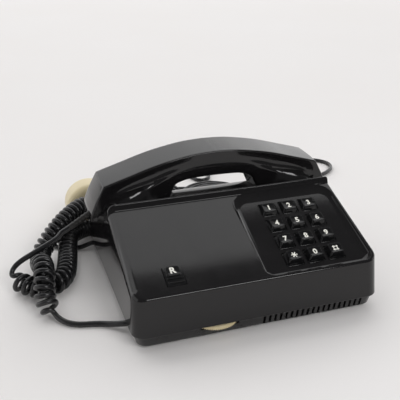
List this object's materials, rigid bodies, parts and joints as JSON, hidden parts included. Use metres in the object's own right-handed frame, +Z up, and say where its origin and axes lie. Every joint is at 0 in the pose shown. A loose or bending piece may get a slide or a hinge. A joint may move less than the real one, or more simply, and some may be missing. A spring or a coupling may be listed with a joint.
{
  "type": "corded telephone",
  "caption": "Black push-button desk telephone with a sloping panel, handset in a cradle, curly handset cord, recall button, volume wheel and a round line plug.",
  "frame": {"origin": "on the surface that the feet stand on, under the middle of the phone's box without its cords", "axes": "+X to the right as the user sees it, along the handset; +Y to the back; +Z up"},
  "size_m": [0.4077, 0.3513, 0.1099],
  "materials": {
    "case_black": "glossy black moulded plastic",
    "tray_black": "satin black moulded plastic",
    "key_black": "glossy black moulded plastic",
    "cream": "cream moulded plastic",
    "foot_rubber": "matt black rubber",
    "gland_rubber": "soft black rubber",
    "cord_vinyl": "shiny black vinyl",
    "tie": "matt black plastic strip",
    "steel": "plain steel",
    "board_green": "green circuit board",
    "board_brown": "brown circuit board",
    "mat_grey": "grey silicone",
    "inner_black": "matt black plastic",
    "winding": "brown wound coil",
    "terminal_cream": "cream plastic",
    "capsule": "grey metal can",
    "brass": "plain brass"
  },
  "bodies": {
    "base": {"top_case": "case_black", "base_tray": "tray_black", "line_plug": "cream", "feet": "foot_rubber", "base_gland": "gland_rubber", "line_gland": "gland_rubber", "handset_cord": "cord_vinyl", "line_cord": "cord_vinyl", "line_coil": "cord_vinyl", "line_tail": "cord_vinyl", "coil_tie": "tie", "case_screws": "steel", "board_screws": "steel", "main_board": "board_green", "keypad_board": "board_brown", "contact_mat": "mat_grey", "ringer": "inner_black", "volume_pot": "inner_black", "hook_switch": "inner_black", "transformer": "winding", "line_terminal": "terminal_cream", "plug_blades": "brass"},
    "handset": {"handset_shell": "case_black", "ear_cap": "case_black", "mouth_cap": "case_black", "receiver": "capsule", "microphone": "capsule", "handset_weight": "steel", "handset_boot": "gland_rubber"},
    "hook": {"hook_yoke": "inner_black", "hook_plungers": "inner_black"},
    "volume_wheel": {"volume_wheel": "cream"},
    "key_1": {"key_1": "key_black"},
    "key_2": {"key_2": "key_black"},
    "key_3": {"key_3": "key_black"},
    "key_4": {"key_4": "key_black"},
    "key_5": {"key_5": "key_black"},
    "key_6": {"key_6": "key_black"},
    "key_7": {"key_7": "key_black"},
    "key_8": {"key_8": "key_black"},
    "key_9": {"key_9": "key_black"},
    "key_star": {"key_star": "key_black"},
    "key_0": {"key_0": "key_black"},
    "key_hash": {"key_hash": "key_black"},
    "recall_button": {"recall_button": "key_black"}
  },
  "joints": [
    {"name": "handset_lift", "type": "slide", "parent": "base", "child": "handset", "axis": [0, 0, 1], "range_m": [0, 0.06]},
    {"name": "hook_slide", "type": "slide", "parent": "base", "child": "hook", "axis": [0, 0, 1], "range_m": [0, 0.005]},
    {"name": "volume_turn", "type": "hinge", "parent": "base", "child": "volume_wheel", "pos_m": [-0.036, -0.077, 0.0106], "axis": [0, 0, 1], "range_deg": [-140, 140]},
    {"name": "key_1_press", "type": "slide", "parent": "base", "child": "key_1", "axis": [0, 0.314, -0.9494], "range_m": [0, 0.0025], "stiffness_N_per_m": 300, "springref_m": -0.001},
    {"name": "key_2_press", "type": "slide", "parent": "base", "child": "key_2", "axis": [0, 0.314, -0.9494], "range_m": [0, 0.0025], "stiffness_N_per_m": 300, "springref_m": -0.001},
    {"name": "key_3_press", "type": "slide", "parent": "base", "child": "key_3", "axis": [0, 0.314, -0.9494], "range_m": [0, 0.0025], "stiffness_N_per_m": 300, "springref_m": -0.001},
    {"name": "key_4_press", "type": "slide", "parent": "base", "child": "key_4", "axis": [0, 0.314, -0.9494], "range_m": [0, 0.0025], "stiffness_N_per_m": 300, "springref_m": -0.001},
    {"name": "key_5_press", "type": "slide", "parent": "base", "child": "key_5", "axis": [0, 0.314, -0.9494], "range_m": [0, 0.0025], "stiffness_N_per_m": 300, "springref_m": -0.001},
    {"name": "key_6_press", "type": "slide", "parent": "base", "child": "key_6", "axis": [0, 0.314, -0.9494], "range_m": [0, 0.0025], "stiffness_N_per_m": 300, "springref_m": -0.001},
    {"name": "key_7_press", "type": "slide", "parent": "base", "child": "key_7", "axis": [0, 0.314, -0.9494], "range_m": [0, 0.0025], "stiffness_N_per_m": 300, "springref_m": -0.001},
    {"name": "key_8_press", "type": "slide", "parent": "base", "child": "key_8", "axis": [0, 0.314, -0.9494], "range_m": [0, 0.0025], "stiffness_N_per_m": 300, "springref_m": -0.001},
    {"name": "key_9_press", "type": "slide", "parent": "base", "child": "key_9", "axis": [0, 0.314, -0.9494], "range_m": [0, 0.0025], "stiffness_N_per_m": 300, "springref_m": -0.001},
    {"name": "key_star_press", "type": "slide", "parent": "base", "child": "key_star", "axis": [0, 0.314, -0.9494], "range_m": [0, 0.0025], "stiffness_N_per_m": 300, "springref_m": -0.001},
    {"name": "key_0_press", "type": "slide", "parent": "base", "child": "key_0", "axis": [0, 0.314, -0.9494], "range_m": [0, 0.0025], "stiffness_N_per_m": 300, "springref_m": -0.001},
    {"name": "key_hash_press", "type": "slide", "parent": "base", "child": "key_hash", "axis": [0, 0.314, -0.9494], "range_m": [0, 0.0025], "stiffness_N_per_m": 300, "springref_m": -0.001},
    {"name": "recall_button_press", "type": "slide", "parent": "base", "child": "recall_button", "axis": [0, 0.314, -0.9494], "range_m": [0, 0.0025], "stiffness_N_per_m": 300, "springref_m": -0.001}
  ],
  "couplings": [
    {"joint": "hook_slide", "follows": "handset_lift", "ratio": 0.083333}
  ]
}
